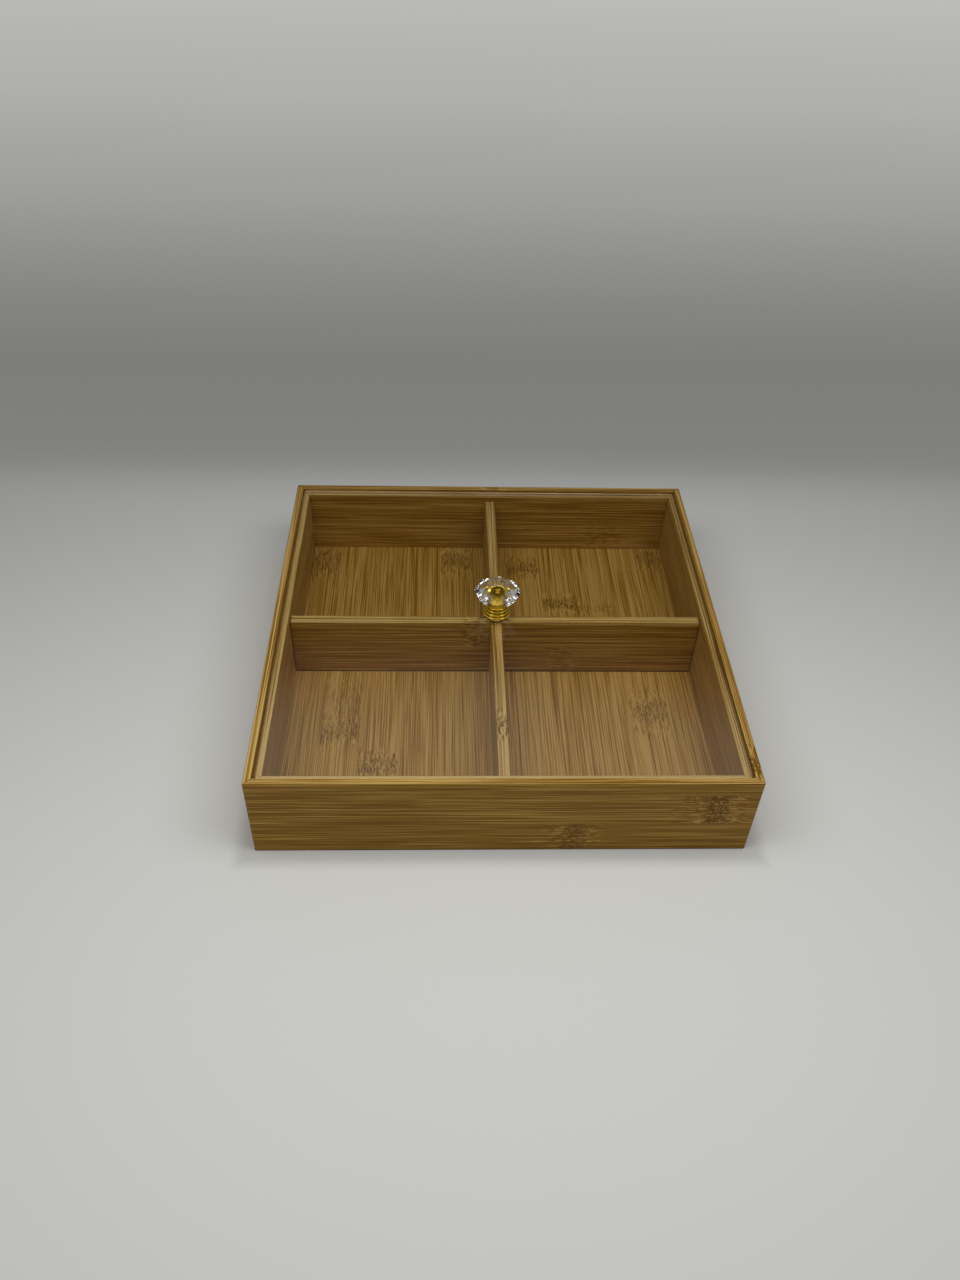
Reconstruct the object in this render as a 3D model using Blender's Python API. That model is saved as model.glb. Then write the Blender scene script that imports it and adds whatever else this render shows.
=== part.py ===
"""Square bamboo organizer box with four compartments and a lift-off clear lid.

Each mitred wall is two boards glued face to face. The outer board stands up as the rim, and the
liner inside it ends lower, as the ledge that the lid rests on. The base panel fits between the
outer boards, under the liners. Two half-lapped dividers stand loose inside and lift out. A
cut-crystal knob on a turned bell is screwed to the middle of the lid.

Metres, +Z up. The origin is the middle of the underside, and the front is at -Y.
"""
import math

import bmesh
import bpy
from mathutils import Matrix, Vector

# Gaps between pieces
seat_gap = 0.0003
glue_gap = 0.0002

# Box frame
box_width = 0.240
box_depth = 0.240
box_height = 0.050
outer_board_thickness = 0.004
liner_thickness = 0.004
base_thickness = 0.006
arris_radius = 0.0005
corner_radius = 0.0008

# Lid
lid_thickness = 0.003
lid_recess = 0.0011
lid_clearance = 0.0005
lid_corner_radius = 0.0020
lid_edge_round = 0.0003

# Dividers
divider_thickness = 0.006
divider_end_clearance = 0.0005
divider_head_clearance = 0.0008
lap_clearance = 0.0003

# Knob screw
screw_radius = 0.0020
screw_hole_clearance = 0.0004
screw_head_radius = 0.0040
screw_head_height = 0.0021
screw_head_rim = 0.0006
screw_tip_chamfer = 0.0005
drive_arm_length = 0.0018
drive_arm_width = 0.0008
drive_depth = 0.0010

# Knob bell
bell_radius = 0.00705
bead_height = 0.00165
bead_bulge = 0.00055
bead_step = 0.00060
neck_radius = 0.0049
neck_height = 0.0006
cup_height = 0.0030
cup_lip_height = 0.0003
cup_lip_width = 0.0005
cup_recess = 0.0006

# Knob crystal
crystal_radius = 0.0125
crystal_table_radius = 0.0065
crystal_foot_radius = 0.0046
pavilion_break_radius = 0.0100
pavilion_break_height = 0.0030
pavilion_height = 0.0064
girdle_height = 0.0007
crown_height = 0.0036

# Knob insert
insert_radius = 0.0030
insert_cover = 0.0042
insert_cap = 0.0018
insert_chamfer = 0.0006
insert_groove_depth = 0.00035
insert_groove_width = 0.0006

# Counts and angles
bead_count = 3
facet_count = 8
crystal_turn_deg = -6.0
arris_steps = 3
bead_steps = 8
turn_steps = 40
hole_steps = 32
insert_groove_count = 3

# Cuts run this far past the faces that they open
overrun = 0.002
merge_distance = 0.000001

# Heights worked out from the sizes above
wall_thickness = outer_board_thickness + liner_thickness
liner_bottom_z = base_thickness + seat_gap
lid_top_z = box_height - lid_recess
lid_bottom_z = lid_top_z - lid_thickness
ledge_z = lid_bottom_z - seat_gap
screw_seat_z = lid_bottom_z - seat_gap
divider_bottom_z = base_thickness + seat_gap
divider_top_z = screw_seat_z - screw_head_height - divider_head_clearance
divider_height = divider_top_z - divider_bottom_z
lap_z = divider_height / 2

# Knob heights above the top of the lid
bell_bottom = seat_gap
beads_top = bell_bottom + bead_count * bead_height
cup_start = beads_top + neck_height
cup_top = cup_start + cup_height + cup_lip_height
cup_floor = cup_top - cup_recess
crystal_bottom = cup_floor + seat_gap
crystal_height = pavilion_height + girdle_height + crown_height
insert_bottom = cup_floor + seat_gap
insert_top = crystal_bottom + crystal_height - insert_cover
screw_top = insert_top - insert_cap - seat_gap

# Widths inside the frame
inner_width = box_width - 2 * wall_thickness
inner_depth = box_depth - 2 * wall_thickness
lid_width = box_width - 2 * (outer_board_thickness + lid_clearance)
lid_depth = box_depth - 2 * (outer_board_thickness + lid_clearance)
base_width = box_width - 2 * (outer_board_thickness + seat_gap)
base_depth = box_depth - 2 * (outer_board_thickness + seat_gap)


def new_material(name, color, roughness, metallic=0.0, transmission=0.0, ior=1.5):
    """A Principled material with one colour."""
    material = bpy.data.materials.new(name)
    material.use_nodes = True
    shader = material.node_tree.nodes["Principled BSDF"]
    shader.inputs["Base Color"].default_value = (*color, 1.0)
    shader.inputs["Roughness"].default_value = roughness
    shader.inputs["Metallic"].default_value = metallic
    shader.inputs["Transmission Weight"].default_value = transmission
    shader.inputs["IOR"].default_value = ior
    material.diffuse_color = (*color, 1.0)
    return material


def new_object(name, bm, material, parent, z=0.0, smooth=False):
    """Turn a bmesh into a named object that sits at height z under its parent."""
    bmesh.ops.recalc_face_normals(bm, faces=bm.faces)
    mesh = bpy.data.meshes.new(name)
    bm.to_mesh(mesh)
    bm.free()
    if smooth:
        mesh.shade_smooth()
        mesh.set_sharp_from_angle(angle=math.radians(35))
    obj = bpy.data.objects.new(name, mesh)
    obj.parent = parent
    obj.location.z = z
    if material:
        mesh.materials.append(material)
    bpy.context.scene.collection.objects.link(obj)
    return obj


def new_cutter(name, bm, parent, z=0.0):
    """A shape that only removes material from other pieces."""
    cutter = new_object(name, bm, None, parent, z)
    cutter.hide_render = True
    cutter.display_type = "WIRE"
    return cutter


def cut(obj, cutter):
    """Take the cutter's shape out of an object."""
    boolean = obj.modifiers.new(cutter.name, "BOOLEAN")
    boolean.operation = "DIFFERENCE"
    boolean.solver = "EXACT"
    boolean.object = cutter


def filleted(corners, steps):
    """Points of a closed outline, from (x, y, radius) corners with a radius of zero left sharp."""
    outline = []
    for index, (x, y, radius) in enumerate(corners):
        corner = Vector((x, y))
        if radius == 0:
            outline.append(corner)
            continue
        before = (Vector(corners[index - 1][:2]) - corner).normalized()
        after = (Vector(corners[(index + 1) % len(corners)][:2]) - corner).normalized()
        half_angle = before.angle(after) / 2
        centre = corner + (before + after).normalized() * (radius / math.sin(half_angle))
        start = corner + before * (radius / math.tan(half_angle)) - centre
        end = corner + after * (radius / math.tan(half_angle)) - centre
        turn = start.angle_signed(end)
        for step in range(steps + 1):
            outline.append(centre + Matrix.Rotation(-turn * step / steps, 2) @ start)
    return outline


def extruded(points, along):
    """A prism: the closed loop of points, and the same loop moved by a vector."""
    bm = bmesh.new()
    face = bm.faces.new([bm.verts.new(point) for point in points])
    moved = bmesh.ops.extrude_face_region(bm, geom=[face])["geom"]
    bmesh.ops.translate(bm, verts=[item for item in moved if isinstance(item, bmesh.types.BMVert)], vec=along)
    return bm


def board(section, length):
    """Stock of a given (y, z) section that runs along X, centred on the origin."""
    points = [(-length / 2, y, z) for y, z in section]
    return extruded(points, (length, 0, 0))


def rectangle(width, height, radius=0.0):
    """Corners of a rectangle centred on X and standing on zero, with its upper corners rounded."""
    return [(-width / 2, 0, 0), (width / 2, 0, 0), (width / 2, height, radius), (-width / 2, height, radius)]


def saw(bm, point, normal):
    """Cut off what lies beyond a plane and close the cut."""
    geometry = bm.verts[:] + bm.edges[:] + bm.faces[:]
    bmesh.ops.bisect_plane(bm, geom=geometry, dist=merge_distance, plane_co=point, plane_no=normal, clear_outer=True)
    open_edges = [edge for edge in bm.edges if edge.is_boundary]
    bmesh.ops.edgeloop_fill(bm, edges=open_edges)


def turned(profile, steps=turn_steps, closed=False):
    """A solid of revolution about Z, from (radius, z) points."""
    bm = bmesh.new()
    verts = [bm.verts.new((radius, 0, z)) for radius, z in profile]
    edges = [bm.edges.new(pair) for pair in zip(verts, verts[1:])]
    if closed:
        edges.append(bm.edges.new((verts[-1], verts[0])))
    bmesh.ops.spin(bm, geom=verts + edges, cent=(0, 0, 0), axis=(0, 0, 1), angle=math.tau, steps=steps, use_merge=True)
    bmesh.ops.remove_doubles(bm, verts=bm.verts, dist=merge_distance)
    return bm


def ring_points(radius, z, count, turn):
    """Points evenly round a circle, the first at the angle turn."""
    angles = [turn + math.tau * index / count for index in range(count)]
    return [(radius * math.cos(angle), radius * math.sin(angle), z) for angle in angles]


def outer_section(outer_y):
    """Section of a wall's outer board, whose outer face is at -outer_y."""
    outer = -outer_y
    inner = outer + outer_board_thickness
    corners = [
        (outer, 0, arris_radius),
        (inner, 0, 0),
        (inner, box_height, arris_radius),
        (outer, box_height, arris_radius),
    ]
    return filleted(corners, arris_steps)


def liner_section(outer_y):
    """Section of a wall's liner, which stands on the base panel and carries the lid."""
    outer = outer_board_thickness + glue_gap - outer_y
    inner = wall_thickness - outer_y
    corners = [
        (outer, liner_bottom_z, 0),
        (inner, liner_bottom_z, 0),
        (inner, ledge_z, arris_radius),
        (outer, ledge_z, 0),
    ]
    return filleted(corners, arris_steps)


def mitre(bm, length, outer_y):
    """Cut both ends of a wall board on the diagonals from the box's corners."""
    for side in (-1, 1):
        corner = Vector((side * length / 2, -outer_y, 0))
        diagonal = Vector((side, 1, 0)).normalized()
        saw(bm, corner - diagonal * glue_gap / 2, diagonal)


def round_corners(bm, length, outer_y):
    """Round the outer upright edges where two outer boards meet."""
    for side in (-1, 1):
        centre = Vector((side * (length / 2 - corner_radius), corner_radius - outer_y, 0))
        for step in range(1, arris_steps + 1):
            angle = math.radians(45) * step / arris_steps
            outward = Vector((side * math.sin(angle), -math.cos(angle), 0))
            saw(bm, centre + outward * corner_radius, outward)


def make_wall(side_name, length, outer_y, turn_deg, material, parent):
    """The two boards of a wall along X with its outer face at -outer_y, turned into place."""
    outer = board(outer_section(outer_y), length)
    mitre(outer, length, outer_y)
    round_corners(outer, length, outer_y)
    liner = board(liner_section(outer_y), length)
    mitre(liner, length, outer_y)
    for name, bm in ((side_name + "_wall", outer), (side_name + "_liner", liner)):
        piece = new_object(name, bm, material, parent, smooth=True)
        piece.rotation_euler.z = math.radians(turn_deg)


def make_base_panel(material, parent):
    """The board between the outer boards and under the liners, flush with the lower edges."""
    section = filleted(rectangle(base_depth, base_thickness), arris_steps)
    return new_object("base_panel", board(section, base_width), material, parent)


def make_divider(name, length, lap_from_top, material, parent):
    """A board on edge with a half-lap slot at its middle, open at the top or at the bottom."""
    section = filleted(rectangle(divider_thickness, divider_height, arris_radius), arris_steps)
    divider = new_object(name, board(section, length), material, parent, divider_bottom_z, smooth=True)
    slot_width = divider_thickness + 2 * lap_clearance
    if lap_from_top:
        low = lap_z - lap_clearance / 2
        high = divider_height + overrun
    else:
        low = -overrun
        high = lap_z + lap_clearance / 2
    slot = [(-slot_width / 2, low), (slot_width / 2, low), (slot_width / 2, high), (-slot_width / 2, high)]
    points = [(x, -divider_thickness / 2 - overrun, z) for x, z in slot]
    bm = extruded(points, (0, divider_thickness + 2 * overrun, 0))
    cut(divider, new_cutter(name + "_slot", bm, divider))
    return divider


def make_lid(material):
    """The clear sheet, with rounded corners, eased edges and a hole for the knob screw."""
    half_x = lid_width / 2
    half_y = lid_depth / 2
    signs = [(-1, -1), (1, -1), (1, 1), (-1, 1)]
    outline = filleted([(sx * half_x, sy * half_y, lid_corner_radius) for sx, sy in signs], 2 * arris_steps)
    bm = extruded([(x, y, 0) for x, y in outline], (0, 0, lid_thickness))
    rims = [edge for edge in bm.edges if edge.verts[0].co.z == edge.verts[1].co.z]
    bmesh.ops.bevel(bm, geom=rims, offset=lid_edge_round, offset_type="OFFSET", affect="EDGES",
                    segments=2, profile=0.5, material=-1)
    lid = new_object("lid_panel", bm, material, None, lid_bottom_z, smooth=True)
    hole_radius = screw_radius + screw_hole_clearance
    hole = turned([(0, -overrun), (hole_radius, -overrun), (hole_radius, lid_thickness + overrun),
                   (0, lid_thickness + overrun)], hole_steps)
    cut(lid, new_cutter("lid_hole", hole, lid))
    return lid


def bell_profile():
    """Stacked beads, a short neck and a cup that holds the foot of the crystal."""
    bore = screw_radius + screw_hole_clearance
    pavilion_run = (pavilion_break_radius - crystal_foot_radius) / pavilion_break_height
    recess = crystal_foot_radius + pavilion_run * cup_recess
    lip = recess + cup_lip_width
    profile = [(bore, bell_bottom)]
    for bead in range(bead_count):
        crest = bell_radius - bead * bead_step
        low = bell_bottom + bead * bead_height
        for step in range(bead_steps + 1):
            angle = math.pi * step / bead_steps
            profile.append((crest - bead_bulge + bead_bulge * math.sin(angle),
                            low + bead_height * (1 - math.cos(angle)) / 2))
    for step in range(bead_steps + 1):
        angle = math.pi / 2 * step / bead_steps
        profile.append((neck_radius + (lip - neck_radius) * (1 - math.cos(angle)),
                        cup_start + cup_height * math.sin(angle)))
    profile += [(lip, cup_top), (recess, cup_top), (crystal_foot_radius, cup_floor), (bore, cup_floor)]
    return profile


def insert_profile():
    """A post with ring grooves and a chamfered top, bored from below for the screw."""
    bore = screw_radius + seat_gap
    bore_top = insert_top - insert_cap
    groove_pitch = (insert_top - insert_chamfer - insert_bottom) / (insert_groove_count + 1)
    profile = [(0, bore_top), (bore, bore_top), (bore, insert_bottom), (insert_radius, insert_bottom)]
    for groove in range(1, insert_groove_count + 1):
        middle = insert_bottom + groove * groove_pitch
        low = middle - insert_groove_width / 2
        high = middle + insert_groove_width / 2
        profile += [(insert_radius, low), (insert_radius - insert_groove_depth, low),
                    (insert_radius - insert_groove_depth, high), (insert_radius, high)]
    profile += [(insert_radius, insert_top - insert_chamfer), (insert_radius - insert_chamfer, insert_top),
                (0, insert_top)]
    return profile


def crystal_shape():
    """Flat table, triangular crown and pavilion facets, a thin girdle and a cut-off foot."""
    turn = math.radians(crystal_turn_deg)
    half_facet = math.pi / facet_count
    girdle_low = crystal_bottom + pavilion_height
    girdle_high = girdle_low + girdle_height
    rings = [
        (crystal_foot_radius, crystal_bottom, turn),
        (pavilion_break_radius, crystal_bottom + pavilion_break_height, turn + half_facet),
        (crystal_radius, girdle_low, turn),
        (crystal_radius, girdle_high, turn),
        (crystal_table_radius, girdle_high + crown_height, turn + half_facet),
    ]
    bm = bmesh.new()
    for radius, z, start in rings:
        for point in ring_points(radius, z, facet_count, start):
            bm.verts.new(point)
    bmesh.ops.convex_hull(bm, input=bm.verts)
    bmesh.ops.dissolve_limit(bm, angle_limit=math.radians(1), verts=bm.verts, edges=bm.edges)
    return bm


def screw_profile():
    """Domed head under the lid and a plain shank that ends in a chamfer."""
    profile = []
    dome = screw_head_height - screw_head_rim
    for step in range(bead_steps + 1):
        angle = math.pi / 2 * step / bead_steps
        profile.append((screw_head_radius * math.sin(angle), -screw_head_rim - dome * math.cos(angle)))
    shank_length = lid_top_z + screw_top - screw_seat_z
    profile += [(screw_head_radius, 0), (screw_radius, 0), (screw_radius, shank_length - screw_tip_chamfer),
                (screw_radius - screw_tip_chamfer, shank_length), (0, shank_length)]
    return profile


def drive_recess():
    """A cross-shaped recess cut up into the screw head."""
    long, short = drive_arm_length, drive_arm_width / 2
    arm = [(long, -short), (long, short), (short, short)]
    low = -screw_head_height - overrun
    points = []
    for quarter in range(4):
        turn = Matrix.Rotation(math.tau * quarter / 4, 2)
        points += [(*(turn @ Vector(point)), low) for point in arm]
    return extruded(points, (0, 0, overrun + drive_depth))


def make_knob(lid, crystal, gold, steel):
    """The knob's four pieces, carried by the lid."""
    top = lid_thickness
    new_object("knob_bell", turned(bell_profile(), closed=True), gold, lid, top, smooth=True)
    new_object("knob_insert", turned(insert_profile()), gold, lid, top, smooth=True)
    stone = new_object("knob_crystal", crystal_shape(), crystal, lid, top)
    bore_radius = insert_radius + seat_gap
    bore_top = insert_top + seat_gap
    bore = turned([(0, crystal_bottom - overrun), (bore_radius, crystal_bottom - overrun),
                   (bore_radius, bore_top - insert_chamfer), (bore_radius - insert_chamfer, bore_top),
                   (0, bore_top)], hole_steps)
    cut(stone, new_cutter("knob_crystal_bore", bore, lid, top))
    screw = new_object("knob_screw", turned(screw_profile()), steel, lid, screw_seat_z - lid_bottom_z, smooth=True)
    cut(screw, new_cutter("knob_screw_drive", drive_recess(), screw))


def main():
    """Clear the scene and build the box."""
    for obj in list(bpy.data.objects):
        bpy.data.objects.remove(obj, do_unlink=True)

    bamboo = new_material("bamboo_wall", (0.45, 0.27, 0.10), 0.45)
    floor = new_material("bamboo_floor", (0.42, 0.27, 0.12), 0.50)
    slat = new_material("bamboo_divider", (0.47, 0.30, 0.13), 0.50)
    clear = new_material("clear_sheet", (0.97, 0.97, 0.98), 0.05, transmission=1.0, ior=1.49)
    crystal = new_material("cut_crystal", (0.98, 0.98, 0.98), 0.02, transmission=1.0, ior=1.50)
    gold = new_material("polished_gold", (0.80, 0.60, 0.15), 0.18, metallic=1.0)
    steel = new_material("zinc_steel", (0.65, 0.65, 0.66), 0.30, metallic=1.0)

    tray = bpy.data.objects.new("tray", None)
    bpy.context.scene.collection.objects.link(tray)
    make_wall("front", box_width, box_depth / 2, 0, bamboo, tray)
    make_wall("right", box_depth, box_width / 2, 90, bamboo, tray)
    make_wall("back", box_width, box_depth / 2, 180, bamboo, tray)
    make_wall("left", box_depth, box_width / 2, 270, bamboo, tray)
    make_base_panel(floor, tray)

    side_length = inner_width - 2 * divider_end_clearance
    front_length = inner_depth - 2 * divider_end_clearance
    make_divider("divider_side_to_side", side_length, True, slat, tray)
    lengthwise = make_divider("divider_front_to_back", front_length, False, slat, tray)
    lengthwise.rotation_euler.z = math.radians(90)

    lid = make_lid(clear)
    make_knob(lid, crystal, gold, steel)


main()
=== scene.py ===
"""Looks of the square bamboo box with a clear lid and a cut-crystal knob.

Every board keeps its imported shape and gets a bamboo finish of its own: flat-pressed strips with
fibres that run along the board, joint lines between the strips, and knuckles where the cane had
its rings. The crystal, the bell and the insert of the knob are finer pieces that stand for the
packed ones. Metres, +Z up, front at -Y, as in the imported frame.
"""
import math

import bmesh
import bpy
from mathutils import Matrix, Vector


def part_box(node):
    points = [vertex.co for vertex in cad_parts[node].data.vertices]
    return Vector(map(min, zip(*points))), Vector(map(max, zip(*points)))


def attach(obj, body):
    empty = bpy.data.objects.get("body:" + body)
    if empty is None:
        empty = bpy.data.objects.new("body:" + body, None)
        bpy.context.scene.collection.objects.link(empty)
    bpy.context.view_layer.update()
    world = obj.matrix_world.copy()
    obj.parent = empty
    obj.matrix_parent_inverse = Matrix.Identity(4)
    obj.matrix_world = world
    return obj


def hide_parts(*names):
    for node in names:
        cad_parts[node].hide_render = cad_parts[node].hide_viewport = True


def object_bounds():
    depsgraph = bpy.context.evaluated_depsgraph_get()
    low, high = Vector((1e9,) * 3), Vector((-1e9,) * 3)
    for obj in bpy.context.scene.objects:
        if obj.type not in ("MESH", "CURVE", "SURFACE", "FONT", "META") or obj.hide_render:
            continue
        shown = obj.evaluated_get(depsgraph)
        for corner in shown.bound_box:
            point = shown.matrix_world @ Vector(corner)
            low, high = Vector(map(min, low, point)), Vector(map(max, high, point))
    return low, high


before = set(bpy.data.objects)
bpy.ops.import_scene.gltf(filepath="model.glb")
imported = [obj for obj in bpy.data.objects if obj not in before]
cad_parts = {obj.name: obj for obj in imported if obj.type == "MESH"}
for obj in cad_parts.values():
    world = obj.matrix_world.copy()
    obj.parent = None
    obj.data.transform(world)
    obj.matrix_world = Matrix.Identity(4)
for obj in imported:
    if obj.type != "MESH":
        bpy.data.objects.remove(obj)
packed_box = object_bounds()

MM = 0.001

# Camera, as solved from the corners of the box
camera_place = Vector((-0.02928, -0.41664, 0.41256))
camera_yaw_deg = 2.86
camera_pitch_deg = 42.59
camera_roll_deg = 2.14
focal_length_px = 1018.0
picture_height_px = 1280.0
sensor_mm = 36.0

# Bamboo strips: each pattern's size is its length along the fibres and its width across them
strip_width = 21.0 * MM
joint_line_width = 0.30 * MM
fibre_size = (25.0 * MM, 0.26 * MM)
streak_size = (65.0 * MM, 0.56 * MM)
band_size = (200.0 * MM, 4.0 * MM)
edge_line_size = (150.0 * MM, 0.62 * MM)
wave_size = (65.0 * MM, 9.0 * MM)
wave_height = 0.4 * MM
grain_relief = 0.15 * MM
grain_relief_strength = 0.35

# How far the noise moves from board to board and from strip to strip, in units of its blotches
board_shift = (3.1, 5.3, 7.7)
strip_shift = 37.0

# How strongly fibres, streaks, bands and the strip's own tone show on a face
face_weights = (0.7, 1.7, 0.25, 0.12)

# How strongly lines, fibres and bands show on an upper edge
edge_weights = (2.2, 0.8, 0.3)

# How far fibres and streaks stand up, and how far dark marks and painted shades lie below them
relief_weights = (0.6, 0.6, -0.5)

# Knuckles, where the cane had its rings
knuckle_margin = 0.5 * MM
knuckle_fleck_size = (2.4 * MM, 0.80 * MM)
knuckle_eye_size = (2.4 * MM, 2.8 * MM)
knuckle_flame_size = (6.5 * MM, 0.78 * MM)
knuckle_swirl = 1.2 * MM
knuckle_swirl_size = (5.5 * MM, 3.2 * MM)
knuckle_ragged = 3.6 * MM
knuckle_ragged_size = (40.0 * MM, 1.0 * MM)
knuckle_reach = 2.1
knuckle_core = 0.55
eye_reach = 0.8

# Where a knuckle's marks begin in their noise, and where they are full
flame_limits = (0.56, 0.36)
fleck_limits = (0.50, 0.38)
eye_line_limits = (0.075, 0.030)

# How dark the marks and the painted shades are, from 0 to 1
joint_line_depth = 0.28
knuckle_depth = 0.06
fleck_depth = 0.66
eye_depth = 0.92
arris_shade_depth = 0.7
rebate_shadow_depth = 0.62
wall_foot_shadow_depth = 0.6

# How much a flame takes from the tone at its heart, and what the whole knuckle adds to it
flame_depth = 0.58
flame_lift = 0.20

# The upper edge, and its two eased edges that get painted shade, by how far the surface faces up
edge_limits = (0.60, 0.95)
arris_low_limits = (0.40, 0.60)
arris_high_limits = (0.99, 0.93)

# Painted shade on the rim's inner face beside the lid's edge, found by its distance from the middle of the
# box, less than zero as it faces inwards
rebate_shadow_limits = (-80.0 * MM, -110.0 * MM)

# Painted shadow line at a board's foot, where it stands: the heights where it starts to fade and where it
# ends
foot_shadow_core = 0.6 * MM
foot_shadow_end = 1.1 * MM

# Bamboo colours, as linear albedo, each at its place between the darkest fibres and the palest
face_colours = ((0.25, (0.200, 0.090, 0.002)), (0.50, (0.352, 0.188, 0.020)), (0.76, (0.505, 0.305, 0.078)))
edge_colours = ((0.20, (0.180, 0.080, 0.004)), (0.50, (0.390, 0.228, 0.050)), (0.82, (0.610, 0.420, 0.140)))
# The knuckles' brown, which joint lines and painted shades also darken towards
knuckle_and_shade_brown = (0.105, 0.042, 0.000)

# Thin satin lacquer
lacquer_shine = 0.14
lacquer_roughness = 0.34
streak_roughness = 0.22

# Knob, as packed, but with deeper grooves in the bell, and a thread and a dome on the insert
bead_count = 3
bead_height = 1.65 * MM
bead_bulge = 0.70 * MM
bead_step = 0.60 * MM
neck_height = 0.6 * MM
neck_radius = 4.9 * MM
cup_height = 3.0 * MM
lip_width = 0.5 * MM
lip_round = 0.12 * MM
crystal_foot_radius = 4.6 * MM
pavilion_run_share = 1.8
cup_recess = 0.6 * MM
seat_gap = 0.3 * MM
bore_radius = 2.4 * MM
insert_thread_pitch = 1.0 * MM
insert_thread_depth = 0.32 * MM
insert_shoulder = 0.7 * MM
insert_dome_height = 1.3 * MM
screw_radius = 2.0 * MM

# Mesh work
merge_distance = 0.001 * MM
crest_margin = 0.01 * MM
smooth_below_deg = 40.0
turn_steps = 96
round_steps = 14
thread_rows = 8


class Nodes:
    """A node tree, with short ways to add nodes and to join them."""

    def __init__(self, tree):
        self.tree = tree

    def join(self, socket, value):
        """Join an input to another node's output, or give it a plain value."""
        if isinstance(value, bpy.types.NodeSocket):
            self.tree.links.new(value, socket)
        else:
            socket.default_value = value

    def add(self, kind, inputs=(), **settings):
        """Add a node, with its settings and its inputs by name or number."""
        node = self.tree.nodes.new("ShaderNode" + kind)
        for key, value in settings.items():
            setattr(node, key, value)
        for key, value in dict(inputs).items():
            self.join(node.inputs[key], value)
        return node

    def calc(self, operation, *values):
        """The result of one sum on numbers."""
        return self.add("Math", enumerate(values), operation=operation).outputs[0]

    def times_plus(self, value, factor, extra):
        """value * factor + extra."""
        return self.calc("MULTIPLY_ADD", value, factor, extra)

    def product(self, first, *others):
        """Several numbers multiplied."""
        for other in others:
            first = self.calc("MULTIPLY", first, other)
        return first

    def largest(self, first, *others):
        """The largest of several numbers."""
        for other in others:
            first = self.calc("MAXIMUM", first, other)
        return first

    def ramp_up(self, value, low, high):
        """A smooth step from 0 at low to 1 at high, or down again if low is the larger."""
        if low > high:
            return self.calc("SUBTRACT", 1.0, self.ramp_up(value, high, low))
        inputs = {"Value": value, "From Min": low, "From Max": high}
        return self.add("MapRange", inputs, interpolation_type="SMOOTHSTEP").outputs[0]

    def vector(self, *parts):
        """A vector from three numbers."""
        return self.add("CombineXYZ", enumerate(parts)).outputs[0]

    def parts(self, vector):
        """The three numbers of a vector."""
        return self.add("SeparateXYZ", {0: vector}).outputs

    def sum_of(self, first, second):
        """Two vectors added."""
        return self.add("VectorMath", {0: first, 1: second}, operation="ADD").outputs[0]

    def scaled(self, vector, *factors):
        """A vector with its three numbers times three factors, or all times one."""
        if len(factors) == 1:
            factors *= 3
        return self.add("VectorMath", {0: vector, 1: factors}, operation="MULTIPLY").outputs[0]

    def noise(self, vector, detail=2.0, roughness=0.5):
        """Soft noise round 0.5, one unit of the vector to a blotch."""
        inputs = {"Vector": vector, "Scale": 1.0, "Detail": detail, "Roughness": roughness}
        return self.add("TexNoise", inputs).outputs[0]

    def colours(self, value, *stops):
        """A colour ramp from (place, colour) stops."""
        ramp = self.add("ValToRGB", {0: value})
        elements = ramp.color_ramp.elements
        while len(elements) < len(stops):
            elements.new(0.5)
        for element, (place, colour) in zip(elements, stops):
            element.position = place
            element.color = (*colour, 1.0)
        return ramp.outputs[0]

    def mix(self, factor, first, second):
        """One colour over another."""
        node = self.add("Mix", data_type="RGBA")
        for socket, value in ((node.inputs[0], factor), (node.inputs[6], first), (node.inputs[7], second)):
            self.join(socket, (*value, 1.0) if isinstance(value, tuple) else value)
        return node.outputs[2]

    def seen_directly(self):
        """1 for what the eye, a mirror or a clear piece shows, and 0 for the light on the object."""
        rays = self.add("LightPath").outputs
        return self.largest(rays["Is Camera Ray"], rays["Is Glossy Ray"], rays["Is Transmission Ray"])


class Finish(Nodes):
    """A material, and the shader nodes that make its look."""

    def __init__(self, name, **inputs):
        self.material = bpy.data.materials.new(name)
        self.material.use_nodes = True
        super().__init__(self.material.node_tree)
        self.shader = self.tree.nodes["Principled BSDF"]
        self.output = self.tree.nodes["Material Output"]
        self.place = self.add("TexCoord").outputs["Object"]
        self.give(**inputs)

    def give(self, **inputs):
        """Give the shader its inputs by name, with a low line for each space."""
        for key, value in inputs.items():
            self.join(self.shader.inputs[key.replace("_", " ")], value)

    def relief(self, height, depth, strength):
        """A fine unevenness of the surface."""
        bump = self.add("Bump", {"Strength": strength, "Distance": depth, "Height": height})
        self.give(Normal=bump.outputs[0])

    def blend_with(self, factor, other):
        """Show another shader in place of this one where the factor is 1."""
        blend = self.add("MixShader", {0: factor, 1: self.shader.outputs[0], 2: other.outputs[0]})
        self.join(self.output.inputs["Surface"], blend.outputs[0])


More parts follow.
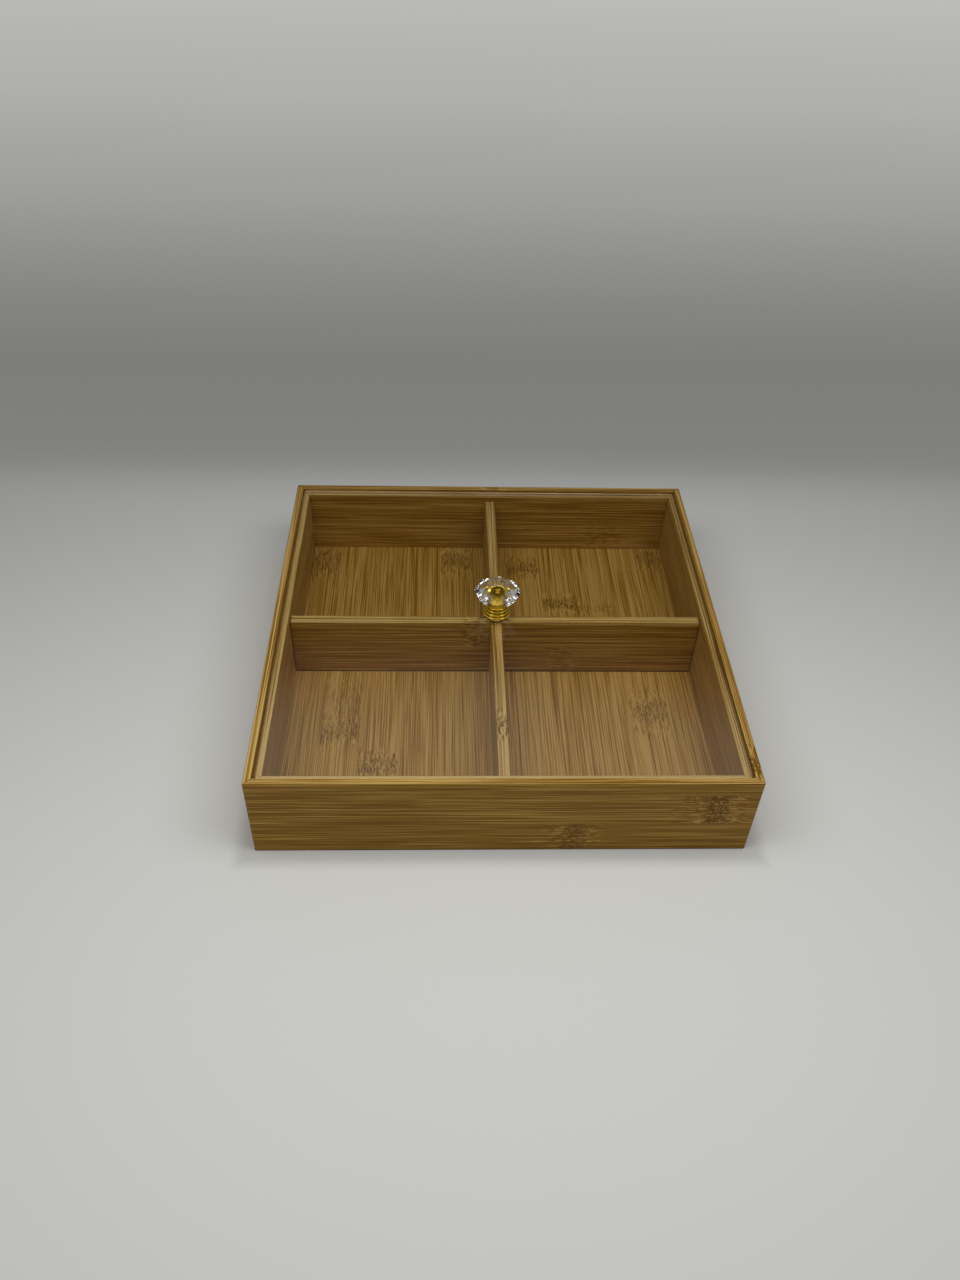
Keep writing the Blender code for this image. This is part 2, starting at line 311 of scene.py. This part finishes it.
class Bamboo(Finish):
    """A bamboo board.

    The axes are those along its fibres, across its strips and through it, a joint between two of
    its strips is at joint, and seed sets its pattern. tone lightens its faces, and edge_tone its
    upper edge, by edge_slope more for each metre along it, as painted shade. rebate paints shade
    on the rim's inner face, and foot draws a painted shadow line at that height, as dark as
    foot_depth. A knuckle is its place along the fibres, its strip, half its length, and how strong
    its flecks and its eyes are.
    """

    def __init__(self, name, axes, joint, seed, tone=0.0, edge_tone=None, edge_slope=0.0,
                 rebate=False, foot=None, foot_depth=1.0, knuckles=()):
        super().__init__(name, Specular_IOR_Level=lacquer_shine)
        place = self.parts(self.place)
        self.along, self.across, self.through = (place["XYZ".index(axis)] for axis in axes)
        self.normal = self.add("NewGeometry").outputs["Normal"]
        self.rise = self.parts(self.normal)[2]
        self.lay_strips(joint, seed)
        self.place_knuckles(joint, knuckles)
        self.bend_fibres()
        self.fibre = self.grain(fibre_size, self.bent, detail=3.0, roughness=0.6)
        self.streak = self.grain(streak_size, self.bent)
        self.band = self.grain(band_size, self.bent)
        flame = self.ramp_up(self.grain(knuckle_flame_size, self.bent), *flame_limits)
        self.flame_tone = self.product(self.near_knuckle, self.times_plus(flame, -flame_depth, flame_lift))

        colour = self.face_colour(tone)
        shades = [self.fleck_shade(), self.eye_shade()]
        if edge_tone is not None:
            # The upper edge's tone changes along the board by edge_slope, as painted shade
            edge = self.edge_colour(edge_tone, edge_slope)
            colour = self.mix(self.ramp_up(self.rise, *edge_limits), colour, edge)
            # Painted shade on the eased edges beside the upper edge
            shades.append(self.painted_arris_shade())
        # Painted shade on the rim's inner face, beside the lid's edge
        if rebate:
            shades.append(self.painted_rebate_shadow())
        if foot is not None:
            # A painted shadow line along the board's foot
            foot_shadow = self.ramp_up(self.across, foot + foot_shadow_end, foot + foot_shadow_core)
            shades.append(self.product(foot_shadow, foot_depth))
        # Flecks and eyes are the bamboo's own marks; the other entries are painted shade
        shade = self.largest(*shades)
        self.give(Base_Color=self.mix(shade, colour, knuckle_and_shade_brown),
                  Roughness=self.times_plus(self.streak, streak_roughness, lacquer_roughness))
        height = self.weigh(0.5, (self.fibre, self.streak, shade), relief_weights)
        self.relief(height, grain_relief, grain_relief_strength)

    def lay_strips(self, joint, seed):
        """Number the strips, and give each its own tone and its own shift of the grain."""
        self.strip_place = self.calc("DIVIDE", self.calc("SUBTRACT", self.across, joint), strip_width)
        key = self.vector(self.calc("FLOOR", self.strip_place), seed, 0.0)
        strip = self.add("TexWhiteNoise", {"Vector": key}, noise_dimensions="3D").outputs
        board = self.vector(*(seed * shift for shift in board_shift))
        self.strip_tone = strip["Value"]
        self.shift = self.scaled(self.sum_of(strip["Color"], board), strip_shift)

    def place_knuckles(self, joint, knuckles):
        """Where the knuckles are, the wider places where the fibres swirl round them, and their eyes."""
        self.straight = (self.along, self.across, self.through)
        ragged = self.grain(knuckle_ragged_size, self.straight, detail=2.0)
        ragged = self.times_plus(ragged, 2 * knuckle_ragged, -knuckle_ragged)
        masks = [0.0, 0.0, 0.0]
        for middle, strip_number, half_length, strength, eyes in knuckles:
            offset = self.calc("ADD", self.calc("SUBTRACT", self.along, middle), ragged)
            distance = self.calc("ABSOLUTE", offset)
            strip_middle = joint + (strip_number + 0.5) * strip_width
            side = self.calc("ABSOLUTE", self.calc("SUBTRACT", self.across, strip_middle))
            inside = self.ramp_up(side, strip_width / 2, strip_width / 2 - knuckle_margin)
            kinds = ((1.0, strength), (knuckle_reach, strength), (eye_reach, eyes))
            for index, (reach, depth) in enumerate(kinds):
                end = half_length * reach
                mask = self.ramp_up(distance, end, end * knuckle_core)
                masks[index] = self.largest(masks[index], self.product(mask, inside, depth))
        self.knuckle, self.near_knuckle, self.eyes = masks

    def bend_fibres(self):
        """Bend the fibres in slow waves, and in a swirl round each knuckle."""
        wave = self.times_plus(self.grain(wave_size, self.straight), 2 * wave_height, -wave_height)
        swirl = self.grain(knuckle_swirl_size, self.straight, detail=2.0)
        swirl = self.times_plus(swirl, 2 * knuckle_swirl, -knuckle_swirl)
        bend = self.times_plus(swirl, self.near_knuckle, wave)
        self.bent = (self.along, self.calc("ADD", self.across, bend), self.calc("ADD", self.through, bend))

    def grain(self, size, place, detail=1.0, roughness=0.5):
        """Noise stretched along the fibres, shifted from strip to strip."""
        length, width = size
        stretched = (self.calc("DIVIDE", part, span) for part, span in zip(place, (length, width, width)))
        return self.noise(self.sum_of(self.vector(*stretched), self.shift), detail, roughness)

    def weigh(self, middle, values, weights):
        """A sum round the middle value, of values that each lie round 0.5 times their weights."""
        total = middle - sum(weights) / 2
        for value, weight in zip(values, weights):
            total = self.times_plus(value, weight, total)
        return total

    def face_colour(self, tone):
        """Strips with fibres, streaks and bands, and a thin line at each joint."""
        parts = (self.fibre, self.streak, self.band, self.strip_tone)
        level = self.calc("ADD", self.weigh(0.5 + tone, parts, face_weights), self.flame_tone)
        to_joint = self.calc("PINGPONG", self.strip_place, 0.5)
        joint_line = self.ramp_up(to_joint, joint_line_width / strip_width, 0.0)
        return self.mix(self.product(joint_line, joint_line_depth), self.colours(level, *face_colours),
                        knuckle_and_shade_brown)

    def edge_colour(self, tone, shade_slope):
        """Long plain lines, in colours from a paler scale than the faces', with painted shade that changes
        along the board by slope for each metre.
        """
        parts = (self.grain(edge_line_size, self.bent), self.fibre, self.band)
        level = self.times_plus(self.along, shade_slope, self.weigh(0.5 + tone, parts, edge_weights))
        return self.colours(self.calc("ADD", level, self.flame_tone), *edge_colours)

    def fleck_shade(self):
        """Short dark flecks all over a knuckle."""
        fleck = self.ramp_up(self.grain(knuckle_fleck_size, self.bent), *fleck_limits)
        return self.product(self.knuckle, self.times_plus(fleck, fleck_depth, knuckle_depth))

    def eye_shade(self):
        """Thin dark lines that curl round the eyes of a knuckle."""
        from_line = self.calc("SUBTRACT", self.grain(knuckle_eye_size, self.straight), 0.5)
        line = self.ramp_up(self.calc("ABSOLUTE", from_line), *eye_line_limits)
        return self.product(line, eye_depth, self.eyes)

    def painted_arris_shade(self):
        """Painted shade on the eased edges on both sides of an upper edge."""
        return self.product(self.ramp_up(self.rise, *arris_low_limits),
                            self.ramp_up(self.rise, *arris_high_limits), arris_shade_depth)

    def painted_rebate_shadow(self):
        """Painted shade on the rim's inner face, which is turned towards the middle of the box."""
        inward = self.add("VectorMath", {0: self.normal, 1: self.place}, operation="DOT_PRODUCT")
        return self.product(self.ramp_up(inward.outputs["Value"], *rebate_shadow_limits), rebate_shadow_depth)


def board_finishes():
    """Each board's own bamboo finish. The tones are partly each board's own and partly painted light:
    boards under the lid and faces in shade are lightened, the front face and the back boards darkened, and
    the front ledge made paler.
    """
    wall_joint = -0.5 * MM
    liner_joint = 3.5 * MM
    divider_joint = 4.8 * MM
    floor_joint = 10.8 * MM

    def wall(name, axes, seed, **looks):
        return Bamboo("bamboo_" + name, axes, wall_joint, seed, rebate=True,
                      foot=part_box(name)[0][2], foot_depth=wall_foot_shadow_depth, **looks)

    def liner(name, axes, seed, **looks):
        return Bamboo("bamboo_" + name, axes, liner_joint, seed, **looks)

    def divider(node, name, axes, seed, **looks):
        return Bamboo("bamboo_" + name, axes, divider_joint, seed, foot=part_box(node)[0][2], **looks)

    return {
        "front_wall": wall("front_wall", "XZY", 1, tone=-0.14, edge_tone=-0.02, knuckles=[
            (100.9 * MM, 1, 8.5 * MM, 0.9, 0.95),
            (86.0 * MM, 1, 5.0 * MM, 0.3, 0.0),
            (33.8 * MM, 0, 8.0 * MM, 0.75, 0.75)]),
        "back_wall": wall("back_wall", "XZY", 2, tone=-0.08, edge_tone=-0.12, knuckles=[
            (3.2 * MM, 2, 4.5 * MM, 0.9, 0.8),
            (-62.0 * MM, 0, 8.0 * MM, 0.8, 0.7)]),
        "left_wall": wall("left_wall", "YZX", 3, tone=-0.05, edge_tone=-0.04, knuckles=[
            (41.0 * MM, 1, 8.0 * MM, 0.8, 0.7)]),
        "right_wall": wall("right_wall", "YZX", 4, tone=-0.05, edge_tone=-0.14, knuckles=[
            (-109.7 * MM, 2, 8.0 * MM, 0.9, 1.0),
            (28.0 * MM, 0, 8.0 * MM, 0.8, 0.7)]),
        "front_liner": liner("front_liner", "XZY", 5, edge_tone=0.42),
        "back_liner": liner("back_liner", "XZY", 6, tone=-0.11, edge_tone=-0.04, knuckles=[
            (70.0 * MM, 0, 9.0 * MM, 0.3, 0.0)]),
        "left_liner": liner("left_liner", "YZX", 7, tone=0.08, edge_tone=0.24, knuckles=[
            (99.6 * MM, 2, 3.8 * MM, 0.8, 0.5)]),
        "right_liner": liner("right_liner", "YZX", 8, tone=0.10, edge_tone=0.12),
        "divider_side_to_side": divider(
            "divider_side_to_side", "side_divider", "XZY", 9, tone=-0.09, edge_tone=0.17,
            edge_slope=-1.0, knuckles=[
                (-6.5 * MM, 1, 7.0 * MM, 1.0, 0.1),
                (37.0 * MM, 0, 5.0 * MM, 0.4, 0.2)]),
        "divider_front_to_back": divider(
            "divider_front_to_back", "front_divider", "YZX", 10, tone=0.10, edge_tone=0.02,
            edge_slope=-0.95, knuckles=[
                (-77.2 * MM, 1, 6.0 * MM, 0.7, 0.9)]),
        "base_panel": Bamboo("bamboo_base", "YXZ", floor_joint, 11, tone=0.08, knuckles=[
            (-34.0 * MM, -5, 17.0 * MM, 0.32, 0.15),
            (-48.0 * MM, -5, 6.5 * MM, 0.65, 0.50),
            (-72.0 * MM, -4, 6.5 * MM, 0.9, 0.35),
            (98.0 * MM, -2, 9.5 * MM, 0.7, 0.5),
            (97.0 * MM, -6, 12.0 * MM, 0.6, 0.4),
            (91.0 * MM, 0, 7.5 * MM, 0.7, 0.6),
            (56.5 * MM, 1, 6.5 * MM, 0.7, 0.8),
            (52.0 * MM, 2, 4.5 * MM, 0.5, 0.2),
            (-34.0 * MM, 3, 11.0 * MM, 0.6, 0.5),
            (103.0 * MM, 4, 8.5 * MM, 0.5, 0.4)]),
    }


class Clear(Finish):
    """A polished clear finish that bends what the eye sees and lets the room's light straight through."""

    def __init__(self, name, ior):
        super().__init__(name, Roughness=0.0, Transmission_Weight=1.0, IOR=ior)
        rays = self.add("LightPath").outputs
        light = self.largest(rays["Is Shadow Ray"], rays["Is Diffuse Ray"])
        self.blend_with(light, self.add("BsdfTransparent", {"Color": (1.0, 1.0, 1.0, 1.0)}))


def sheet_finish():
    """Acrylic sheet with the faintest wipe marks and satin sawn edges, tinted brown as a painted reflection
    of the bamboo round them.
    """
    acrylic_ior = 1.49
    sheet_tint = (0.80, 0.80, 0.80)
    edge_reflection_tint = (0.55, 0.42, 0.28)
    edge_roughness = 0.16
    polish_roughness = 0.004
    wipe_roughness = 0.03
    wipe_counts = (35.0, 90.0, 1.0)
    wipe_limits = (0.45, 0.80)
    sawn_limits = (0.97, 0.90)
    finish = Clear("clear_acrylic", acrylic_ior)
    smear = finish.noise(finish.scaled(finish.place, *wipe_counts), detail=4.0, roughness=0.6)
    wiped = finish.times_plus(finish.ramp_up(smear, *wipe_limits), wipe_roughness, polish_roughness)
    normal = finish.add("NewGeometry").outputs["Normal"]
    sawn = finish.ramp_up(finish.calc("ABSOLUTE", finish.parts(normal)[2]), *sawn_limits)
    # The sawn edges are rougher, and tinted brown as a painted reflection of the bamboo round them
    finish.give(Roughness=finish.largest(wiped, finish.product(sawn, edge_roughness)),
                Base_Color=finish.mix(sawn, sheet_tint, edge_reflection_tint))
    return finish.material


def crystal_finish():
    """Cut glass with faint mirror images and a slight unevenness left by the polishing wheel."""
    glass_ior = 1.52
    mirror_tint = (0.30, 0.30, 0.30, 1.0)
    ripple_count = 400.0
    ripple_height = 0.02 * MM
    ripple_strength = 0.15
    finish = Clear("cut_crystal_glass", glass_ior)
    finish.give(Specular_Tint=mirror_tint)
    finish.relief(finish.noise(finish.scaled(finish.place, ripple_count)), ripple_height, ripple_strength)
    return finish.material


def gold_finish():
    """Polished gold plate with fine turning marks, and painted shade in the grooves between the beads."""
    groove_limits = (0.15, 0.04)
    stack_limits = (bead_count + 0.30, bead_count + 0.15)
    groove_shade_depth = 0.9
    groove_shade_brown = (0.110, 0.045, 0.002)
    thin_gold = (0.80, 0.55, 0.035)
    thick_gold = (0.96, 0.72, 0.085)
    polish_roughness = 0.03
    blotch_roughness = 0.12
    blotch_count = 260.0
    turning_counts = (300.0, 300.0, 9000.0)
    turning_depth = 0.02 * MM
    turning_strength = 0.12
    finish = Finish("polished_gold_plate", Metallic=1.0)
    blotch = finish.noise(finish.scaled(finish.place, blotch_count), detail=3.0)
    plating = finish.colours(blotch, (0.30, thin_gold), (0.70, thick_gold))
    above_lid = finish.calc("SUBTRACT", finish.parts(finish.place)[2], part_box("knob_bell")[0][2])
    beads = finish.calc("DIVIDE", above_lid, bead_height)
    # Painted shade in the grooves between the beads
    groove = finish.ramp_up(finish.calc("PINGPONG", beads, 0.5), *groove_limits)
    groove_shade = finish.product(groove, finish.ramp_up(beads, *stack_limits), groove_shade_depth)
    finish.give(Base_Color=finish.mix(groove_shade, plating, groove_shade_brown),
                Roughness=finish.times_plus(blotch, blotch_roughness, polish_roughness))
    turning_marks = finish.noise(finish.scaled(finish.place, *turning_counts))
    finish.relief(turning_marks, turning_depth, turning_strength)
    return finish.material


def cloudy_metal(name, cloud_count, dark, light, roughness, cloud_roughness):
    """Metal whose colour and roughness change in soft clouds."""
    finish = Finish(name, Metallic=1.0)
    cloud = finish.noise(finish.scaled(finish.place, cloud_count), detail=3.0)
    finish.give(Base_Color=finish.colours(cloud, (0.35, dark), (0.65, light)),
                Roughness=finish.times_plus(cloud, cloud_roughness, roughness))
    return finish.material


def brass_finish():
    """Machined brass, darker than the plating, inside the crystal."""
    return cloudy_metal("machined_brass", cloud_count=900.0, dark=(0.24, 0.15, 0.005),
                        light=(0.40, 0.26, 0.012), roughness=0.22, cloud_roughness=0.20)


def steel_finish():
    """Zinc-plated steel, slightly blue and cloudy."""
    return cloudy_metal("zinc_plated_steel", cloud_count=700.0, dark=(0.48, 0.49, 0.51),
                        light=(0.68, 0.68, 0.69), roughness=0.15, cloud_roughness=0.3)


def dress(node, material):
    """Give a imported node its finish."""
    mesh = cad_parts[node].data
    mesh.materials.clear()
    mesh.materials.append(material)


def new_piece(name, bm, material, body, node, smooth=True):
    """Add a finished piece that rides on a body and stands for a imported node."""
    bmesh.ops.remove_doubles(bm, verts=bm.verts, dist=merge_distance)
    bmesh.ops.recalc_face_normals(bm, faces=bm.faces)
    mesh = bpy.data.meshes.new(name)
    bm.to_mesh(mesh)
    bm.free()
    mesh.materials.append(material)
    if smooth:
        mesh.shade_smooth()
        mesh.set_sharp_from_angle(angle=math.radians(smooth_below_deg))
    piece = bpy.data.objects.new(name, mesh)
    bpy.context.scene.collection.objects.link(piece)
    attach(piece, body)
    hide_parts(node)


def turned(profile):
    """A solid of revolution about Z, from (radius, z) points."""
    bm = bmesh.new()
    verts = [bm.verts.new((radius, 0, z)) for radius, z in profile]
    edges = [bm.edges.new(pair) for pair in zip(verts, verts[1:])]
    bmesh.ops.spin(bm, geom=verts + edges, cent=(0, 0, 0), axis=(0, 0, 1), angle=math.tau,
                   steps=turn_steps, use_merge=True)
    bmesh.ops.remove_doubles(bm, verts=bm.verts, dist=merge_distance)
    return bm


def arc(centre, radii, start_deg, end_deg):
    """Points of an elliptic arc round (radius, z)."""
    points = []
    for step in range(round_steps + 1):
        angle = math.radians(start_deg + (end_deg - start_deg) * step / round_steps)
        points.append((centre[0] + radii[0] * math.cos(angle), centre[1] + radii[1] * math.sin(angle)))
    return points


def cut_thread(bm, low, high, crest_radius, pitch, depth):
    """Draw the wall of a turned piece in along a helix, with a run-out of one pitch at both ends."""
    for vert in bm.verts:
        radius = math.hypot(vert.co.x, vert.co.y)
        if low < vert.co.z < high and radius > crest_radius - crest_margin:
            turns = (vert.co.z - low) / pitch - math.atan2(vert.co.y, vert.co.x) / math.tau
            run_out = min(1.0, (vert.co.z - low) / pitch, (high - vert.co.z) / pitch)
            cut = depth * run_out * (0.5 - 0.5 * math.cos(math.tau * turns))
            vert.co.x *= 1 - cut / radius
            vert.co.y *= 1 - cut / radius


def make_bell(material):
    """Stacked beads, a neck and a flared cup whose lip holds the foot of the crystal."""
    low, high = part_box("knob_bell")
    wide = high[0]
    profile = [(bore_radius, low[2])]
    for bead in range(bead_count):
        crest = wide - bead * bead_step
        middle = low[2] + (bead + 0.5) * bead_height
        profile += arc((crest - bead_bulge, middle), (bead_bulge, bead_height / 2), -90, 90)
    cup_start = low[2] + bead_count * bead_height + neck_height
    cup_floor = high[2] - cup_recess
    recess = crystal_foot_radius + pavilion_run_share * cup_recess
    lip = recess + lip_width
    flare = arc((lip, cup_start), (neck_radius - lip, cup_height), 0, 90)
    profile += flare + arc((lip - lip_round, high[2] - lip_round), (lip_round, lip_round), 0, 90)
    profile += [(recess, high[2]), (crystal_foot_radius, cup_floor)]
    profile += [(bore_radius, cup_floor), (bore_radius, low[2])]
    new_piece("bell", turned(profile), material, "lid", "knob_bell")


def make_insert(material):
    """A threaded brass post with a domed top, held in the crystal."""
    low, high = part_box("knob_insert")
    wide = high[0]
    shoulder = high[2] - insert_dome_height
    bore_top = high[2] - 2 * insert_dome_height
    bore = screw_radius + seat_gap
    rows = thread_rows * round((shoulder - low[2]) / insert_thread_pitch)
    wall = [(wide, low[2] + (shoulder - low[2]) * row / rows) for row in range(rows + 1)]
    dome = arc((0, shoulder), (wide - insert_shoulder, insert_dome_height), 0, 90)
    profile = [(0, bore_top), (bore, bore_top), (bore, low[2])] + wall + dome
    bm = turned(profile)
    cut_thread(bm, low[2], shoulder, wide, insert_thread_pitch, insert_thread_depth)
    new_piece("insert", bm, material, "lid", "knob_insert")


def make_crystal(material):
    """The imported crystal's facets, with a narrow facet cut on each slanting edge and every edge eased."""
    slant_facet = 1.2 * MM
    facet_edge = 0.08 * MM
    level = 0.5 * MM
    flat_below_deg = 1
    bm = bmesh.new()
    bm.from_mesh(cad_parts["knob_crystal"].data)
    bmesh.ops.remove_doubles(bm, verts=bm.verts, dist=merge_distance)
    for face in bm.faces[:]:
        bm.faces.remove(face)
    for edge in bm.edges[:]:
        bm.edges.remove(edge)
    bmesh.ops.convex_hull(bm, input=bm.verts)
    inner = [vert for vert in bm.verts if not vert.link_faces]
    bmesh.ops.delete(bm, geom=inner, context="VERTS")
    bmesh.ops.dissolve_limit(bm, angle_limit=math.radians(flat_below_deg), verts=bm.verts, edges=bm.edges)
    slanting = [edge for edge in bm.edges if abs(edge.verts[0].co.z - edge.verts[1].co.z) > level]
    bmesh.ops.bevel(bm, geom=slanting, offset=slant_facet, offset_type="WIDTH", affect="EDGES",
                    segments=1, profile=0.5, material=-1)
    bmesh.ops.bevel(bm, geom=bm.edges[:], offset=facet_edge, offset_type="OFFSET", affect="EDGES",
                    segments=1, profile=0.5, material=-1)
    new_piece("crystal", bm, material, "lid", "knob_crystal", smooth=False)


def tinted(levels, tint):
    """Colour stops from (place, grey level) pairs and a tint."""
    return [(place, tuple(level * part for part in tint)) for place, level in levels]


def make_floor():
    """A pale floor with a painted soft shadow round the box's foot. Far from the box, the eye and mirrors
    see a painted glow, darker in a band of painted shade behind the box and an even grey further back.
    """
    floor_reach = 9.0
    floor_roughness = 0.6
    floor_shine = 0.1
    pale = (0.70, 0.705, 0.676)
    floor_shadow_level = 0.77
    floor_shadow_start = 4.0 * MM
    floor_shadow_end = 13.0 * MM
    far_limits = (0.15, 0.26)
    side_limits = (0.45, 1.0)
    back_end = 1.9
    back_tint = (1.0, 1.0, 0.975)
    painted_back_greys = ((0.0, 0.51), (0.08, 0.35), (0.115, 0.22), (0.20, 0.205), (0.26, 0.235), (0.40, 0.34),
                  (0.61, 0.43), (1.0, 0.50))
    bm = bmesh.new()
    bmesh.ops.create_grid(bm, x_segments=1, y_segments=1, size=floor_reach)
    mesh = bpy.data.meshes.new("floor")
    bm.to_mesh(mesh)
    bm.free()
    finish = Finish("pale_floor", Roughness=floor_roughness, Specular_IOR_Level=floor_shine)
    x, y, _ = finish.parts(finish.place)
    from_middle = finish.largest(finish.calc("ABSOLUTE", x), finish.calc("ABSOLUTE", y))
    wall = packed_box[1][0]
    # Painted soft shadow on the floor round the box's foot
    in_floor_shadow = finish.ramp_up(from_middle, wall + floor_shadow_end, wall + floor_shadow_start)
    floor_shadow_colour = tuple(floor_shadow_level * part for part in pale)
    finish.give(Base_Color=finish.mix(in_floor_shadow, pale, floor_shadow_colour))
    # Far from the box the eye and mirrors see a painted glow, with a band of painted shade behind the box
    back = finish.colours(finish.calc("DIVIDE", y, back_end), *tinted(painted_back_greys, back_tint))
    distance = finish.add("VectorMath", {0: finish.place}, operation="LENGTH").outputs["Value"]
    far = finish.largest(finish.ramp_up(y, *far_limits), finish.ramp_up(distance, *side_limits))
    finish.blend_with(finish.product(far, finish.seen_directly()), finish.add("Emission", {"Color": back}))
    mesh.materials.append(finish.material)
    floor = bpy.data.objects.new("floor", mesh)
    bpy.context.scene.collection.objects.link(floor)


def make_lamp():
    """One soft panel overhead."""
    panel = bpy.data.lights.new("overhead_panel", "AREA")
    panel.shape = "RECTANGLE"
    panel.size = 0.8
    panel.size_y = 0.26
    panel.energy = 2.35
    lamp = bpy.data.objects.new("overhead_panel", panel)
    lamp.location = (0.0, -0.18, 0.50)
    bpy.context.scene.collection.objects.link(lamp)


def make_room():
    """A faint glow on the object, and what mirrors show: pale walls, windows, a screen, a dim front."""
    glow_level = 0.17
    backdrop_level = 0.50
    wall_tint = (1.0, 0.96, 0.88)
    screen_tint = (1.0, 1.0, 1.0)
    pale_walls = ((0.0, 0.50), (0.10, 0.42), (0.40, 0.24), (0.70, 0.34), (0.88, 0.42), (1.0, 0.38))
    dim_front = ((0.0, 0.40), (0.10, 0.20), (0.30, 0.07), (0.60, 0.05), (0.80, 0.20), (0.90, 0.42),
                 (1.0, 0.38))
    dark_screen = ((0.0, 0.52), (0.10, 0.50), (0.30, 0.20), (0.45, 0.02), (0.66, 0.02), (0.69, 0.10),
                   (0.72, 0.36), (0.75, 0.46), (0.88, 0.50), (1.0, 0.38))
    screen_limits = (0.72, 0.90)
    front_limits = (-0.45, -0.75)
    window_level = 1.3
    window_places = ((-0.88, 0.08), (0.10, 0.07), (0.88, 0.08))
    window_pane_share = 0.7
    window_front_limits = (0.0, -0.05)
    window_foot_limits = (0.46, 0.54)
    window_head_limits = (0.92, 0.86)
    world = bpy.data.worlds.new("studio")
    bpy.context.scene.world = world
    world.use_nodes = True
    studio = Nodes(world.node_tree)
    x, y, z = studio.parts(studio.add("TexCoord").outputs["Generated"])
    reach = studio.calc("SQRT", studio.calc("ADD", studio.product(x, x), studio.product(y, y)))
    facing = studio.calc("DIVIDE", y, reach)
    beside = studio.calc("DIVIDE", x, reach)
    pale = studio.colours(z, *tinted(pale_walls, wall_tint))
    front = studio.colours(z, *tinted(dim_front, wall_tint))
    screen = studio.colours(z, *tinted(dark_screen, screen_tint))
    walls = studio.mix(studio.ramp_up(facing, *screen_limits), pale, screen)
    walls = studio.mix(studio.ramp_up(facing, *front_limits), walls, front)
    panes = [studio.ramp_up(studio.calc("ABSOLUTE", studio.calc("SUBTRACT", beside, place)), half,
                            half * window_pane_share) for place, half in window_places]
    windows = studio.product(studio.largest(*panes), studio.ramp_up(facing, *window_front_limits),
                             studio.ramp_up(z, *window_foot_limits), studio.ramp_up(z, *window_head_limits))
    walls = studio.mix(windows, walls, (window_level,) * 3)
    light = studio.mix(studio.seen_directly(), (glow_level,) * 3, walls)
    light = studio.mix(studio.add("LightPath").outputs["Is Camera Ray"], light, (backdrop_level,) * 3)
    studio.join(studio.tree.nodes["Background"].inputs["Color"], light)


def make_camera():
    """The camera where the photograph was taken from."""
    yaw = math.radians(camera_yaw_deg)
    pitch = math.radians(camera_pitch_deg)
    roll = math.radians(camera_roll_deg)
    forward = Vector((math.sin(yaw) * math.cos(pitch), math.cos(yaw) * math.cos(pitch), -math.sin(pitch)))
    level_right = Vector((math.cos(yaw), -math.sin(yaw), 0))
    level_up = level_right.cross(forward)
    right = math.cos(roll) * level_right + math.sin(roll) * level_up
    up = math.cos(roll) * level_up - math.sin(roll) * level_right
    data = bpy.data.cameras.new("camera")
    data.sensor_fit = "AUTO"
    data.sensor_width = sensor_mm
    data.lens = focal_length_px * sensor_mm / picture_height_px
    camera = bpy.data.objects.new("camera", data)
    turn = Matrix((right, up, -forward)).transposed().to_4x4()
    camera.matrix_world = Matrix.Translation(camera_place) @ turn
    bpy.context.scene.collection.objects.link(camera)
    bpy.context.scene.camera = camera


def main():
    """Finish every piece, then set the stage."""
    for node, finish in board_finishes().items():
        dress(node, finish.material)
    gold = gold_finish()
    dress("lid_panel", sheet_finish())
    dress("knob_screw", steel_finish())
    make_bell(gold)
    make_insert(brass_finish())
    make_crystal(crystal_finish())
    make_floor()
    make_lamp()
    make_room()
    make_camera()
    bpy.context.scene.view_settings.view_transform = "Standard"


main()
